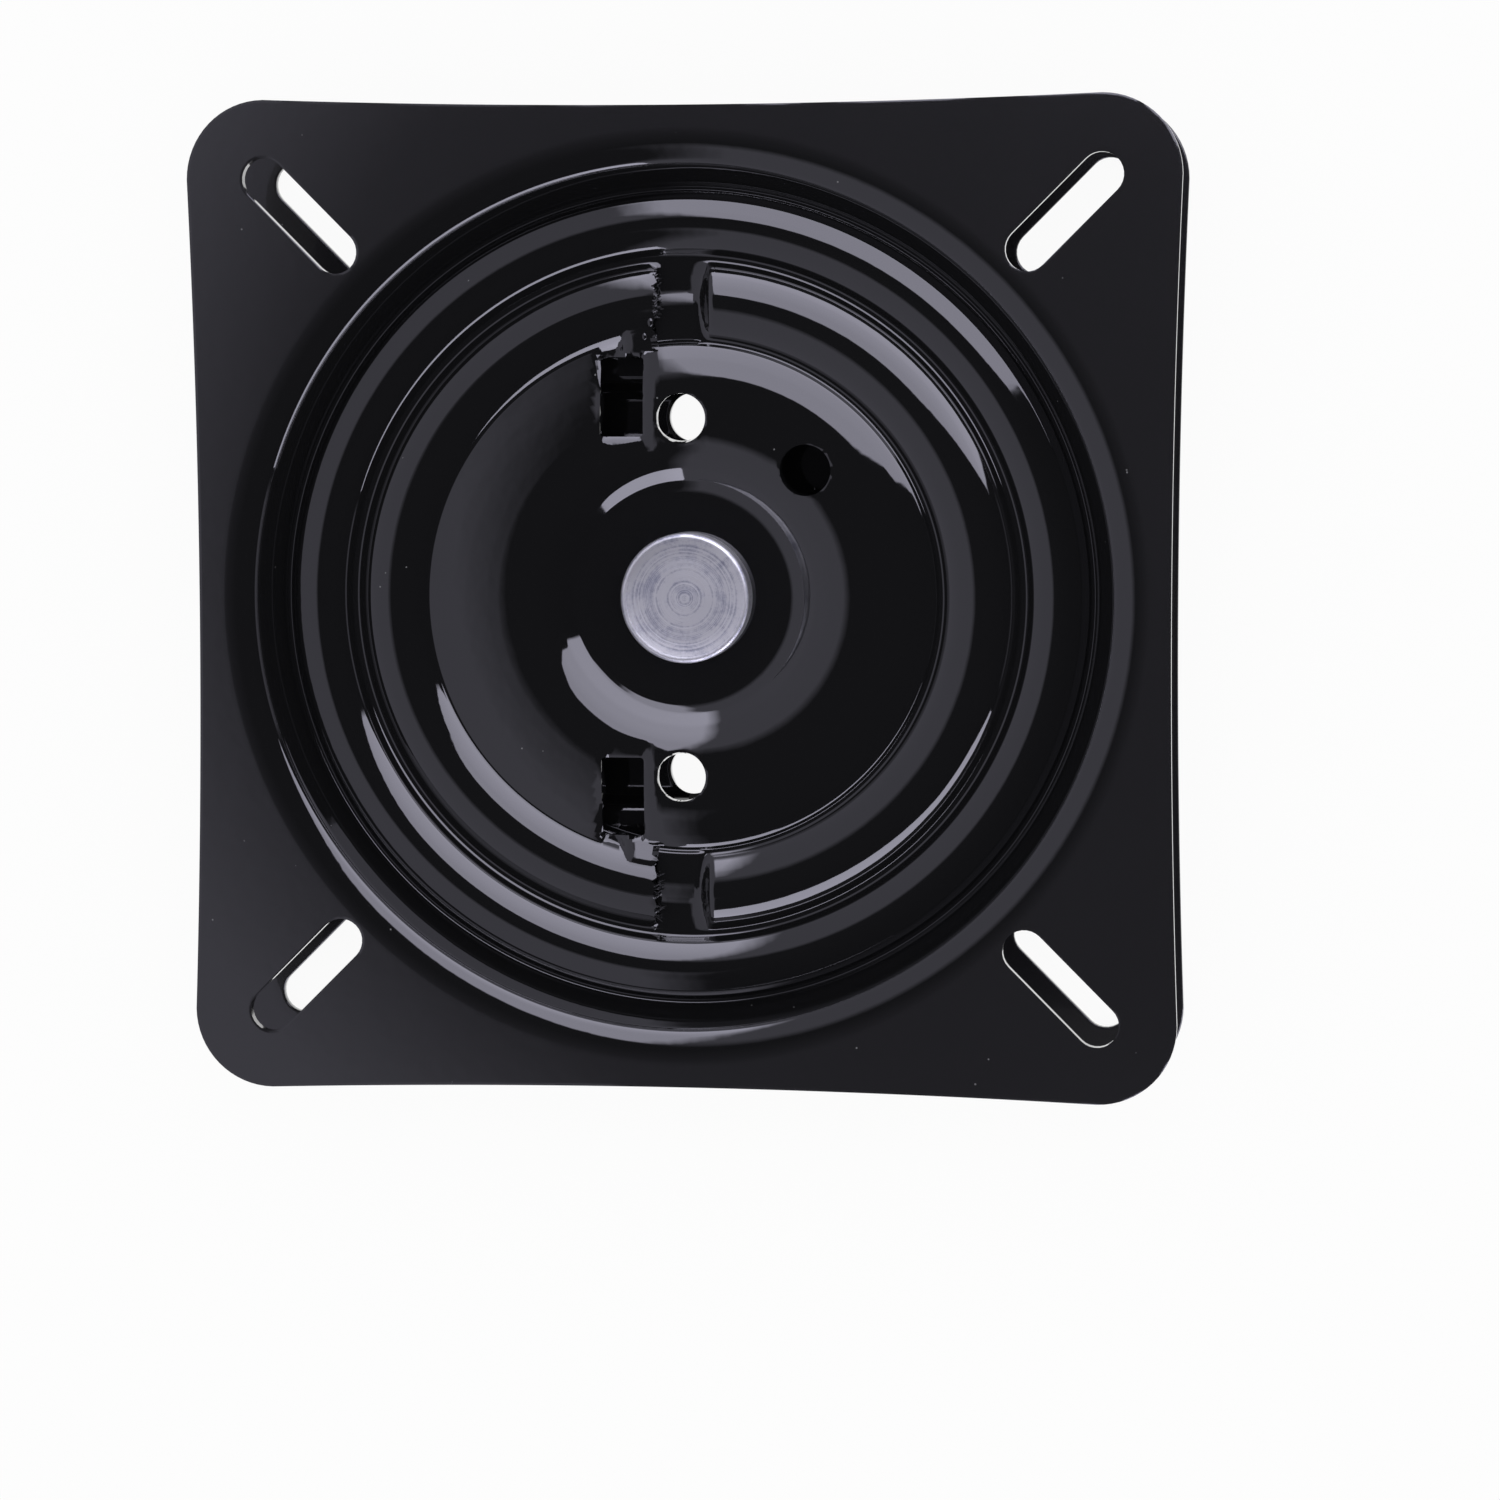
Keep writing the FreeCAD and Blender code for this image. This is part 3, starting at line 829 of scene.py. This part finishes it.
@dataclass
class UpperPlate(PressedSheet):
    """The upper plate: dish, beads, raised middle, windows and holes."""

    node: str = "top_plate"
    body: str = "turning_plate"
    flange: Optional[SquareFlange] = SquareFlange()
    flange_level: float = OVERALL_HEIGHT
    bore: float = 7.05
    recess_floor: float = 19.8
    boss_level: float = 25.3
    middle_reach: float = 68.0
    split_x: float = -20.8
    split_width: float = 0.8
    split_span: Span = (57.0, 69.0)
    bead_span: Span = (60.0, 84.0)
    bead_rise: float = 4.2
    bead_end: float = 3.3
    bead_end_run: float = 2.9
    bead_blend: float = 0.25
    bead_blend_reach: float = 66.0
    tear: float = -7.8
    tear_slack: float = 0.06
    tear_half_width: float = 0.3
    window: Tuple[float, float, float, float] = (-20.8, -10.4, 39.0, 58.2)
    lip_reach: float = 3.2
    lip_drop: float = 0.95
    burnish_reach: float = 1.3
    burnish_drop: float = 0.35
    ramp_foot: float = 74.0
    ramp_run: float = 5.0
    ramp_rise: float = 0.9
    web_start: float = -18.0
    web_run: float = 4.5
    web_foot: float = 23.6
    web_slope: float = 0.24
    web_span: Span = (60.5, 65.2)
    web_lines: Tuple[float, ...] = (-17.5, -16.8, -16.1, -15.4, -14.7, -14.0)
    web_line_span: Span = (59.0, 67.5)
    burr_span: Span = (67.5, 78.5)
    burr_sets: Tuple[Tuple[int, int, float, float], ...] = ((1, 60, 0.8, 1.5), (-1, 26, 0.3, 2.6))
    drips: Tuple[Place, ...] = (
        (-8.3, 66.6, 0.75), (-9.9, 63.2, 0.6), (-8.2, -80.9, 0.45))
    openings: Tuple[Opening, ...] = (
        *both_sides(round_hole(-1.0, 43.5, 6.0)),
        round_hole(29.31, 31.0, 6.2),
        *both_sides(Opening(-15.6, 48.6, 5.2, 9.6, 0.9)),
        *both_sides(Opening(-7.75, 71.4, 0.05, 7.3, 0.04, collar=0.5, pitch=0.8)))

    def __post_init__(self) -> None:
        """Draw the sections that the sheet is pressed to."""
        valley, level, top = UPPER_VALLEY, self.boss_level, OVERALL_HEIGHT
        slope = [Bend(self.bore, self.recess_floor), Bend(25.6, self.recess_floor, 10.0),
                 Bend(28.3, 20.45, 0.5), Bend(31.4, 22.45, 7.0), Bend(34.6, 24.05, 16.0),
                 Bend(38.4, level, 24.0)]
        self.left = Section(slope + [
            Bend(43.8, level, 60.0), Bend(54.0, level - 0.82, 370.0), Bend(64.0, level - 1.97, 3.5),
            Bend(67.0, valley, 1.0), Bend(68.5, valley)])
        self.right = Section(slope + [
            Bend(55.0, level, 30.0), Bend(60.9, level - 2.45, 0.8), Bend(61.75, valley, 0.8),
            Bend(68.5, valley)])
        self.dish = Section([
            Bend(60.0, valley), Bend(82.8, valley, 1.0), Bend(84.4, valley + 1.97, 3.5),
            Bend(89.2, valley + 4.95, 9.0), Bend(96.3, valley + 2.95, 1.2), Bend(98.2, valley, 0.6),
            Bend(99.4, valley, 0.6), Bend(104.3, top - 1.57, 2.8), Bend(108.6, top, 16.0),
            Bend(112.0, top)])
        self.bead = Section([Bend(58.0, valley),
                             *ball_rib(INNER_RACE, valley, 1, 0.9, 12.5, self.bead_rise, 44.0),
                             Bend(84.0, valley)])
        self.bead_step = Section([Bend(-20.0, 0.0), Bend(self.bead_end, 0.0, 5.5),
                                  Bend(self.bead_end + self.bead_end_run, self.bead_rise, 1.8),
                                  Bend(120.0, self.bead_rise)])

    def rings(self) -> List[float]:
        """Return the radii at which the sheet gets a ring of points."""
        return self.dish.stations + self.left.stations + self.right.stations + self.bead.stations

    def mark(self, mesh: Mesh) -> None:
        """Add the lines along the straight steps."""
        for share in (0.0, 0.25, 0.5, 0.75, 1.0):
            place = self.split_x + self.split_width * (share - 0.5)
            score(mesh, False, place, *self.split_span)
        for place in self.web_lines:
            score(mesh, False, place, *self.web_line_span)
        for place in self.bead_step.stations[1:-1]:
            if 0.0 < place < 9.0:
                score(mesh, False, place, *self.bead_span)

    def roll(self, x: float, y: float) -> float:
        """Return how far the sheet is rolled down beside a window."""
        low_x, high_x, inner, outer = self.window
        away = math.hypot(max(x - high_x, 0.0), max(inner - abs(y), 0.0) * 0.75)
        share = max(1 - away / self.lip_reach, 0.0) ** 2 * ease(x, low_x - 0.4, low_x + 1.6)
        share *= 1 - ease(abs(y), outer - 1.0, outer + 4.0)
        side = max(1 - abs(low_x - x) / self.burnish_reach, 0.0) ** 2
        side *= ease(abs(y), inner + 4.0, outer) * (1 - ease(abs(y), outer, outer + 3.0))
        return max(share * self.lip_drop, side * self.burnish_drop if x < low_x + 0.4 else 0.0)

    def gap_floor(self, x: float, reach: float) -> float:
        """Return how far the floor between the bead's ends is raised."""
        way = min(max((self.ramp_foot - reach) / self.ramp_run, 0.0), 1.0)
        across = ease(x, self.tear - 1.6, self.tear - 0.3) * (1 - ease(x, 2.2, 5.0))
        return self.ramp_rise * (2 * way - way * way) * across * ease(reach, 61.6, 62.6)

    def web(self, x: float, reach: float, level: float) -> float:
        """Return how far the sheet is drawn up between a window and the bead's torn end.

        Args:
            x: the place across the sheet.
            reach: its distance from the axis.
            level: the sheet's height there without the web.
        """
        if not (self.window[0] < x < self.tear + self.tear_slack and reach < INNER_RACE):
            return 0.0
        inner, outer = self.web_span
        drawn = self.web_foot + self.web_slope * (min(reach, outer) - inner)
        return max(drawn - level, 0.0) * ease(x, self.web_start, self.web_start + self.web_run)

    def height(self, x: float, y: float) -> float:
        """Return the height of the drawn surface at a place."""
        reach = math.hypot(x, y)
        if reach < self.middle_reach:
            half = self.split_width / 2
            low = self.left.height(reach)
            raised = ease(x, self.split_x - half, self.split_x + half)
            middle = low + (self.right.height(reach) - low) * raised - self.roll(x, y)
        else:
            middle = self.dish.height(reach)
        if not self.bead_span[0] < reach < self.bead_span[1]:
            return middle
        middle += self.gap_floor(x, reach)
        middle += self.web(x, reach, middle)
        before_tear = x < self.tear + self.tear_slack
        share = 1.0 if before_tear else self.bead_step.height(x) / self.bead_rise
        bead = UPPER_VALLEY + (self.bead.height(reach) - UPPER_VALLEY) * share
        if reach < self.bead_blend_reach:
            return soft_max(middle, bead, self.bead_blend)
        return max(middle, bead)

    def at_tear(self, place: Vector, low: float, high: float) -> bool:
        """Return whether a place is on the torn edge, between two distances from the axis."""
        return abs(place.x - self.tear) < self.tear_half_width and low < place.xy.length < high

    def sharp_cut(self, place: Vector) -> bool:
        """Return whether a cut edge stays sharp at a place."""
        return self.at_tear(place, 60.0, 82.0)

    def tear_edges(self, mesh: Mesh) -> None:
        """Fray the torn ends of the bead."""
        for vert in mesh.verts:
            lift = vert.co.z - UPPER_VALLEY - 0.3
            if lift > 0.0 and self.at_tear(vert.co, 63.0, 81.0):
                fray = noise.noise(vert.co * 1.1) + 0.6 * noise.noise(vert.co * 3.7)
                vert.co.x += (0.35 + fray * 1.1) * min(lift, 1.0)

    def detail(self, mesh: Mesh) -> None:
        """Add the burrs and the paint drips at the torn ends."""
        self.tear_edges(mesh)
        dice = random.Random(7)
        for side, count, spread, longest in self.burr_sets:
            for _ in range(count):
                along = dice.uniform(*self.burr_span)
                level = self.bead.height(along) - dice.uniform(0.0, 1.8)
                root = Vector((self.tear - 0.2 + dice.uniform(0, spread), side * along,
                               max(level, UPPER_VALLEY + 0.8)))
                lean = Vector((1.0, dice.uniform(-0.9, 0.9), dice.uniform(-0.5, 0.35))).normalized()
                self.burr(mesh, root, lean, dice.uniform(0.5, longest), dice.uniform(0.14, 0.34))
        for x, y, size in self.drips:
            drip = bmesh.ops.create_icosphere(mesh, subdivisions=3, radius=size)["verts"]
            bmesh.ops.scale(mesh, vec=(1.0, 1.5, 0.7), verts=drip)
            level = max(self.height(x - 0.4, y), UPPER_VALLEY)
            bmesh.ops.translate(mesh, vec=(x, y, level), verts=drip)

    @staticmethod
    def burr(mesh: Mesh, root: Vector, lean: Vector, length: float, width: float) -> None:
        """Add one curled sliver of torn sheet.

        Args:
            mesh: the finished sheet.
            root: where it grows from.
            lean: the way it points.
            length: how long it is.
            width: half its width at the root.
        """
        turn = lean.to_track_quat("Z", "X").to_matrix().to_4x4()
        place = Matrix.Translation(root + lean * length / 2)
        cone = bmesh.ops.create_cone(mesh, cap_ends=True, segments=6, radius1=width,
                                     radius2=width * 0.25, depth=length, matrix=place @ turn)
        for vert in cone["verts"]:
            reach = (vert.co - root).dot(lean) / length
            vert.co.z += 0.3 * length * reach * reach * math.sin(root.y * 5)


@dataclass
class LowerPlate(PressedSheet):
    """The lower plate: a dish with both races pressed into it."""

    node: str = "bottom_plate"
    body: str = "base"
    side: SheetSide = SheetSide.ABOVE
    steps: int = 240
    flange: Optional[SquareFlange] = SquareFlange()
    bore: float = 61.5

    def __post_init__(self) -> None:
        """Draw the section that the sheet is pressed to, on its lower surface."""
        valley = LOWER_VALLEY
        self.dish = Section([
            Bend(self.bore, valley), *ball_rib(INNER_RACE, valley, 1, *INNER_GROOVE),
            *ball_rib(OUTER_RACE, valley, -1, *OUTER_GROOVE), Bend(101.6, valley, 3.0),
            Bend(105.6, 0.0, 5.5), Bend(112.0, 0.0)])


@dataclass
class RetainingDisc(PressedSheet):
    """The disc below the lower plate: a race round a straight-sided bowl."""

    node: str = "retaining_disc"
    body: str = "turning_plate"
    steps: int = 240
    bore: float = 7.05
    rim: float = 80.0
    rim_level: float = 11.0
    mouth_radius: float = 58.5
    mouth_flat: float = 52.2
    wall_run: float = 2.7
    floor_level: float = 4.9
    corner_blend: float = 3.0
    wall_lines: Span = (-3.0, 7.0)
    wall_span: Span = (40.0, 64.0)
    wall_reach: float = 30.0
    race_start: float = 63.0
    openings: Tuple[Opening, ...] = both_sides(round_hole(-1.0, 43.5, 5.9))

    def __post_init__(self) -> None:
        """Draw the sections that the disc is pressed to."""
        level = self.rim_level
        self.race = Section([Bend(self.bore, level),
                             *ball_rib(INNER_RACE, level, -1, *INNER_GROOVE),
                             Bend(self.rim, level)])
        self.wall = Section([Bend(-30.0, level), Bend(0.0, level, 2.6),
                             Bend(self.wall_run, self.floor_level, 4.2),
                             Bend(60.0, self.floor_level)])

    def rings(self) -> List[float]:
        """Return the radii at which the sheet gets a ring of points."""
        wall = [self.mouth_radius - inset for inset in self.wall.stations]
        return self.race.stations + [r for r in wall if self.bore < r < self.rim]

    def mark(self, mesh: Mesh) -> None:
        """Add the lines along the bowl's straight sides."""
        for inset in self.wall.stations:
            if self.wall_lines[0] < inset < self.wall_lines[1]:
                for side in (-1, 1):
                    place = side * (self.mouth_flat - inset)
                    score(mesh, True, place, *self.wall_span, self.wall_reach)

    def height(self, x: float, y: float) -> float:
        """Return the height of the drawn surface at a place."""
        reach = math.hypot(x, y)
        if reach > self.race_start:
            return self.race.height(reach)
        inset = soft_min(self.mouth_radius - reach, self.mouth_flat - abs(y), self.corner_blend)
        return self.wall.height(inset)


@dataclass
class CentreRivet:
    """The rivet that holds the stack: flat head above, set tail below."""

    head_base: float = 19.8
    head_top: float = 26.3
    head_radius: float = 15.8
    shank_radius: float = 7.0
    tail_radius: float = 13.0
    tail_top: float = 2.4
    tail_base: float = 0.2
    steps: int = 128

    def build(self, finishes: Finishes) -> bpy.types.Object:
        """Make the rivet and return its object."""
        mesh = bmesh.new()
        radius, top, base = self.head_radius, self.head_top, self.tail_base
        outline = [(0.0, top - 0.14), (4.0, top - 0.14), (9.0, top - 0.13),
                   (radius - 1.7, top - 0.12), (radius - 1.35, top - 0.03), (radius - 1.1, top),
                   *arc_points((radius - 1.05, top - 1.05), 1.05, 90, 0, 8),
                   (radius, self.head_base + 0.2), (radius - 0.2, self.head_base),
                   (self.shank_radius, self.head_base), (self.shank_radius, self.tail_top),
                   (self.tail_radius, self.tail_top),
                   *arc_points((self.tail_radius - 0.8, base + 0.8), 0.8, 0, -90, 6), (0.0, base)]
        spin_line(mesh, outline, self.steps)
        bmesh.ops.recalc_face_normals(mesh, faces=mesh.faces)
        made = finish_mesh(mesh, "rivet_turned", finishes[Slot.ZINC])
        return dress(made, "turning_plate", Slot.ZINC, "centre_rivet")


@dataclass
class Studio:
    """Camera, floor, lamp and what the gloss reflects.

    A direction's bearing is its angle round from the X axis, and its tilt its angle from
    straight up, both in degrees.
    """

    camera_place: Place = (171.776, 58.975, 1108.465)
    camera_aim: Place = (17.411, -35.777, 36.0)
    camera_roll_deg: float = -0.066
    lens: float = 108.74
    softbox_level: float = 4.1
    softbox_near: float = 20.0
    softbox_far: float = 113.0
    softbox_top: float = 19.0
    shoulder_bearing: float = 56.0
    shoulder_run: float = 34.0
    shoulder_drop: float = 26.0
    far_softness: float = 7.0
    horizon_tilt: float = 71.0
    studio_tint: Colour = (0.8, 0.785, 0.95, 1.0)
    plain_tint: Colour = (0.8, 0.8, 0.8, 1.0)
    pale_level: float = 0.5
    low_wall_level: float = 0.4
    dark_level: float = 0.02
    plain_level: float = 0.9
    card_bearing_deg: float = 280.0
    card_distance: float = 240.0
    card_shift: float = 130.0
    card_width: float = 426.0
    card_height: float = 186.0
    lamp_place: Place = (200.0, 150.0, 1600.0)
    lamp_size: float = 1200.0
    lamp_watts: float = 2.0
    floor_glow: float = 0.94
    floor_colour: Colour = (0.9, 0.9, 0.9, 1.0)
    floor_half_width: float = 4000.0
    floor_drop: float = 0.3

    def camera(self) -> None:
        """Place the camera where the photograph was taken."""
        place = Vector(self.camera_place) * MM
        back = (place - Vector(self.camera_aim) * MM).normalized()
        right = Vector((0, 1, 0)).cross(back).normalized()
        turn = Matrix((right, back.cross(right), back)).transposed().to_4x4()
        data = bpy.data.cameras.new("camera")
        data.lens = self.lens
        data.sensor_width = 36.0
        data.clip_start = 0.01
        made = place_object("camera", data)
        made.matrix_world = (Matrix.Translation(place) @ turn
                             @ Matrix.Rotation(math.radians(self.camera_roll_deg), 4, "Z"))
        bpy.context.scene.camera = made

    def softbox(self, bearing: Wire, tilt: Wire) -> Wire:
        """Return a mask of the large softbox, dimmer towards the zenith and the horizon.

        Args:
            bearing: the direction's bearing.
            tilt: the direction's tilt.

        Returns:
            A mask between 0 and 1.
        """
        short_of = (self.shoulder_bearing - bearing).positive() / self.shoulder_run
        top = self.softbox_top + self.shoulder_drop * short_of ** 2
        near_end = bearing - (tilt - 55).positive() * 0.65
        box = near_end.above(self.softbox_near, 1.5) * (tilt - top).above(0.0, 1.2)
        box = box * bearing.below(self.softbox_far, self.far_softness)
        return (box * (0.75 + 0.25 * tilt.above(50.0, 40.0))
                * (1 - 0.85 * tilt.above(self.horizon_tilt, 7.0)))

    def world(self) -> None:
        """Light the scene evenly, and let gloss reflect a softbox and pale walls."""
        world = bpy.data.worlds.new("studio")
        bpy.context.scene.world = world
        tree = ShaderTree(world)
        direction = tree.node("ShaderNodeTexCoord", output="Generated")
        east, north, up = (tree.node("ShaderNodeSeparateXYZ", {}, {0: direction}, axis)
                           for axis in "XYZ")
        bearing = north.maths("ARCTAN2", north, east) * math.degrees(1.0)
        tilt = up.maths("ARCCOSINE", up) * math.degrees(1.0)
        left_wall = bearing.above(self.softbox_far, self.far_softness)
        pale = (left_wall + (bearing - tilt * 0.5).below(-125.0, 9.0)) * tilt.above(20.5, 7.0)
        low_wall = bearing.above(-20.0, 4.0) * bearing.below(18.0, 4.0) * tilt.above(66.0, 4.0)
        studio = (self.dark_level + self.softbox_level * self.softbox(bearing, tilt)
                  + self.pale_level * pale + self.low_wall_level * low_wall)
        glossy = tree.ray("Glossy")
        camera = tree.ray("Camera")
        level = glossy * studio + (1 - glossy) * (camera + (1 - camera) * self.plain_level)
        tint = tree.mix(glossy, self.plain_tint, self.studio_tint)
        tree.surface(tree.node("ShaderNodeBackground", {}, {"Color": tint, "Strength": level}))

    def card(self) -> None:
        """Stand the near reflector that gloss alone sees."""
        bearing = math.radians(self.card_bearing_deg)
        out = Vector((math.cos(bearing), math.sin(bearing), 0.0))
        aside = Vector((-out.y, out.x, 0.0))
        rise = Vector((0, 0, 1))
        data = bpy.data.lights.new("near_card", "AREA")
        data.shape = "RECTANGLE"
        data.size = self.card_width * MM
        data.size_y = self.card_height * MM
        data.color = [part / max(self.studio_tint) for part in self.studio_tint[:3]]
        data.energy = self.softbox_level * math.pi * data.size * data.size_y
        place = out * self.card_distance + aside * self.card_shift + rise * self.card_height / 2
        made = place_object("near_card", data)
        made.matrix_world = (Matrix.Translation(place * MM)
                             @ Matrix((aside, rise, out)).transposed().to_4x4())
        made.visible_camera = False
        made.visible_diffuse = False

    def lamp(self) -> None:
        """Hang one large soft lamp over the part."""
        data = bpy.data.lights.new("soft_lamp", "AREA")
        data.size = self.lamp_size * MM
        data.energy = self.lamp_watts
        made = place_object("soft_lamp", data)
        made.location = Vector(self.lamp_place) * MM
        made.rotation_euler = (math.radians(-5), math.radians(7), 0)
        made.visible_glossy = False

    def floor(self) -> None:
        """Lay a white floor that keeps a faint shadow."""
        tree = ShaderTree(bpy.data.materials.new("white_floor"))
        seen = tree.ray("Camera") + tree.ray("Glossy") + tree.ray("Transmission")
        plain = tree.node("ShaderNodeBsdfDiffuse", {}, {"Color": self.floor_colour})
        white = tree.node("ShaderNodeEmission", {}, {"Strength": 1.0})
        glow = seen * self.floor_glow
        tree.surface(tree.node("ShaderNodeMixShader", {}, {"Fac": glow, 1: plain, 2: white}))
        mesh = bmesh.new()
        bmesh.ops.create_grid(mesh, x_segments=2, y_segments=2, size=self.floor_half_width)
        bmesh.ops.translate(mesh, verts=mesh.verts, vec=(0, 0, -self.floor_drop))
        finish_mesh(mesh, "floor", tree.owner)


def carried_over_finish(node: str) -> Slot:
    """Return the slot of a CAD node that stays as it is."""
    if "ball" in node:
        return Slot.BALL
    return Slot.CAGE if "cage" in node else Slot.STEEL


def finish_cad_nodes(finishes: Finishes, replaced: Sequence[str]) -> None:
    """Give each CAD node that stays its finish.

    Args:
        finishes: the material of each slot.
        replaced: the nodes that new pieces stand for.
    """
    for name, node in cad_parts.items():
        if name in replaced:
            continue
        node.data.materials.clear()
        node.data.materials.append(finishes[carried_over_finish(name)])
        LOG.info("%s keeps its solid", name)


def main() -> None:
    """Build the pieces in order and light them."""
    logging.basicConfig(level=logging.INFO, format="%(name)s: %(message)s")
    bpy.context.scene.view_settings.view_transform = "Standard"
    finishes: Finishes = {
        Slot.PAINT: GlossBlackPaint().build(),
        Slot.ZINC: ZincPlate().build(),
        Slot.STEEL: GrainedFinish("turned_steel", STEEL_GREY, STEEL_GREY, 1.0, 0.35).build(),
        Slot.BALL: GrainedFinish("ball_steel", BALL_GREY, BALL_GREY, 1.0, 0.12).build(),
        Slot.CAGE: GrainedFinish("cage_nylon", NYLON, PALE_NYLON, 0.0, 0.42, 0.1, 700.0,
                                 0.00002).build(),
    }
    studio = Studio()
    studio.camera()
    for part in (UpperPlate(), LowerPlate(), RetainingDisc(), CentreRivet()):
        part.build(finishes)
    finish_cad_nodes(finishes, ("top_plate", "bottom_plate", "retaining_disc", "centre_rivet"))
    studio.world()
    studio.card()
    studio.lamp()
    studio.floor()


if __name__ == "__main__":
    main()
